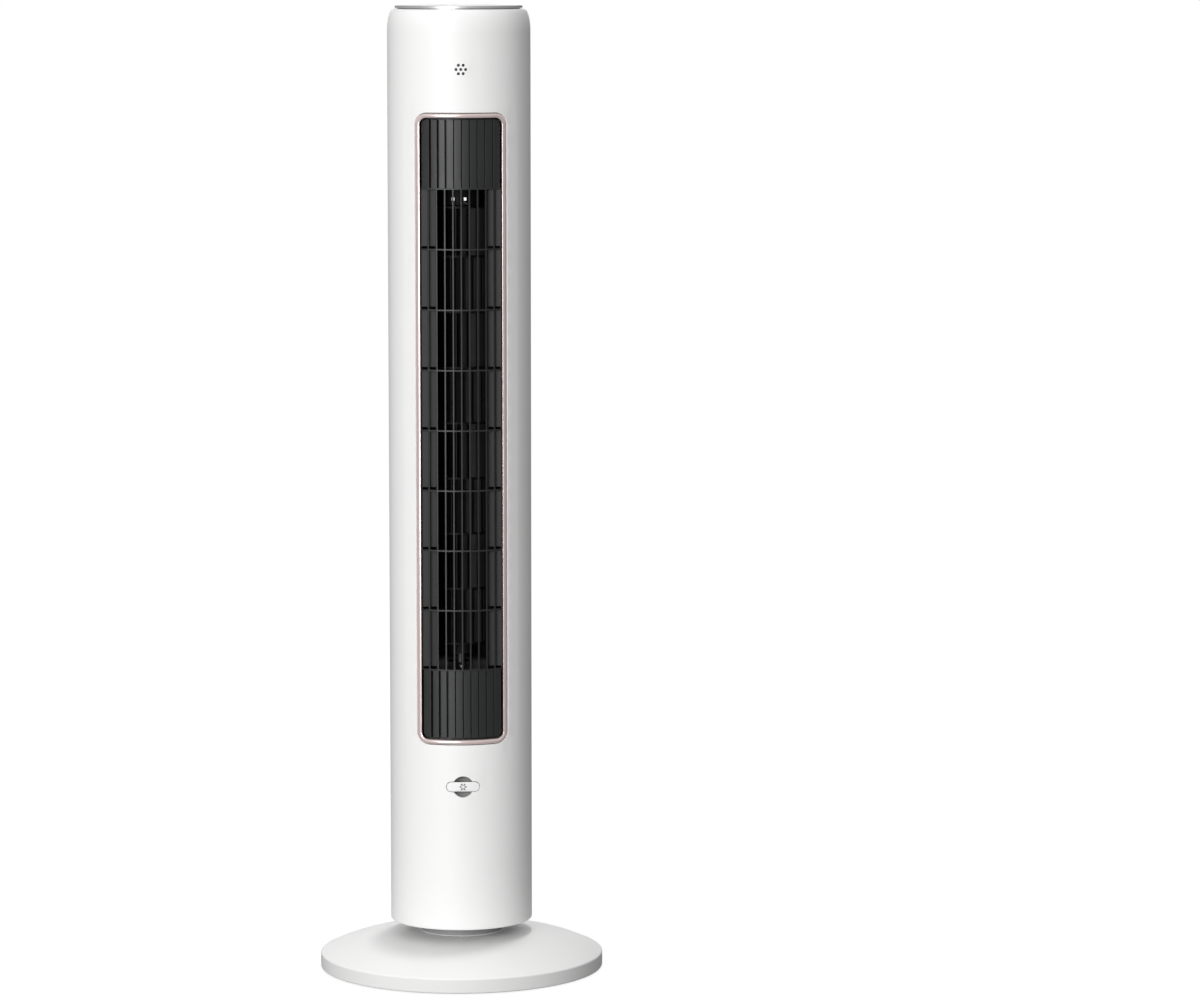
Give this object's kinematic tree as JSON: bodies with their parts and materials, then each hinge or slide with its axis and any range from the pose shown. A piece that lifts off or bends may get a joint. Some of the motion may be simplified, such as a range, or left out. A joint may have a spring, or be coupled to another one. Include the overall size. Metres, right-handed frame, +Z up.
{
  "type": "tower fan",
  "caption": "Oscillating tower fan: round column with a tall outlet grille and cross-flow impeller, on a weighted disc base, with top controls and a scent tray.",
  "frame": {"origin": "on the floor, under the column's axis", "axes": "+Z up the column, the air outlet faces -Y, +X to the right seen from the front"},
  "size_m": [0.298, 0.298, 1.015],
  "materials": {
    "white_shell": "satin moulded white",
    "base_white": "satin moulded white",
    "neck_plastic": "fine matt",
    "grille_plastic": "fine matt charcoal",
    "rose_trim": "pale rose-gold metallic lacquer",
    "dish_plastic": "matt mid grey",
    "silver_trim": "silver lacquer",
    "panel": "satin white",
    "button_plastic": "satin white",
    "tinted_window": "polished, dark tint",
    "circuit_board": "solder mask",
    "black_plastic": "matt",
    "duct_plastic": "fine matt grey",
    "impeller_plastic": "matt",
    "steel": "bright zinc",
    "motor_steel": "rolled steel",
    "winding": "laminations with enamelled copper coils",
    "bronze": "sintered",
    "rubber": "matt",
    "cast_weight": "cast",
    "gear_nylon": "moulded nylon",
    "felt": "felt",
    "cable": "satin sleeve",
    "capacitor_shell": "gloss",
    "cover_plastic": "matt"
  },
  "bodies": {
    "base": {"base_shell": "base_white", "base_bottom_cover": "cover_plastic", "base_weight": "cast_weight", "rubber_feet": "rubber", "base_screws": "steel", "neck_post": "neck_plastic", "neck_clamp_nut": "motor_steel", "fixed_gear": "gear_nylon", "gear_retaining_ring": "steel", "turntable_balls": "steel", "cord_gland": "cover_plastic"},
    "column": {"front_housing": "white_shell", "rear_housing": "white_shell", "window_bezel": "rose_trim", "front_grille": "grille_plastic", "column_base_plate": "neck_plastic", "top_trim_ring": "silver_trim", "control_panel": "panel", "display_window": "tinted_window", "display_board": "circuit_board", "display_led": "black_plastic", "tact_switches": "black_plastic", "buzzer": "black_plastic", "duct_scroll": "duct_plastic", "duct_tongue": "duct_plastic", "duct_top_plate": "duct_plastic", "motor_deck": "duct_plastic", "bearing_holder": "duct_plastic", "bearing_bush": "rubber", "shaft_bushings": "bronze", "motor_upper_case": "motor_steel", "motor_lower_case": "motor_steel", "motor_stator": "winding", "motor_grommets": "rubber", "mechanism_screws": "steel", "motor_capacitor": "capacitor_shell", "power_board": "circuit_board", "swing_motor": "motor_steel", "housing_screws": "steel", "scent_sleeve": "dish_plastic", "wiring_loom": "cable"},
    "impeller": {"impeller_segment_1": "impeller_plastic", "impeller_segment_2": "impeller_plastic", "impeller_segment_3": "impeller_plastic", "impeller_segment_4": "impeller_plastic", "impeller_segment_5": "impeller_plastic", "impeller_segment_6": "impeller_plastic", "impeller_segment_7": "impeller_plastic", "impeller_segment_8": "impeller_plastic", "impeller_top_disc": "impeller_plastic", "impeller_hub": "rubber", "motor_rotor": "motor_steel"},
    "pinion": {"drive_pinion": "gear_nylon"},
    "button_power": {"button_power": "button_plastic"},
    "button_speed": {"button_speed": "button_plastic"},
    "button_mode": {"button_mode": "button_plastic"},
    "button_swing": {"button_swing": "button_plastic"},
    "button_timer": {"button_timer": "button_plastic"},
    "tray": {"scent_tray": "white_shell", "scent_pad": "felt"}
  },
  "joints": [
    {"name": "swing", "type": "hinge", "parent": "base", "child": "column", "pos_m": [0, 0, 0.06], "axis": [0, 0, 1], "range_deg": [-40, 40]},
    {"name": "impeller_spin", "type": "hinge", "parent": "column", "child": "impeller", "pos_m": [0, 0.008, 0.33], "axis": [0, 0, 1], "continuous": true},
    {"name": "pinion_spin", "type": "hinge", "parent": "column", "child": "pinion", "pos_m": [0, 0.042, 0.085], "axis": [0, 0, 1], "range_deg": [-125, 125]},
    {"name": "tray_slide", "type": "slide", "parent": "column", "child": "tray", "axis": [0, -1, 0], "range_m": [0, 0.024]},
    {"name": "button_power_press", "type": "slide", "parent": "column", "child": "button_power", "axis": [0, 0, -1], "range_m": [0, 0.0008], "stiffness_N_per_m": 400},
    {"name": "button_speed_press", "type": "slide", "parent": "column", "child": "button_speed", "axis": [0, 0, -1], "range_m": [0, 0.0008], "stiffness_N_per_m": 400},
    {"name": "button_mode_press", "type": "slide", "parent": "column", "child": "button_mode", "axis": [0, 0, -1], "range_m": [0, 0.0008], "stiffness_N_per_m": 400},
    {"name": "button_swing_press", "type": "slide", "parent": "column", "child": "button_swing", "axis": [0, 0, -1], "range_m": [0, 0.0008], "stiffness_N_per_m": 400},
    {"name": "button_timer_press", "type": "slide", "parent": "column", "child": "button_timer", "axis": [0, 0, -1], "range_m": [0, 0.0008], "stiffness_N_per_m": 400}
  ],
  "couplings": [
    {"joint": "pinion_spin", "follows": "swing", "ratio": 3}
  ]
}
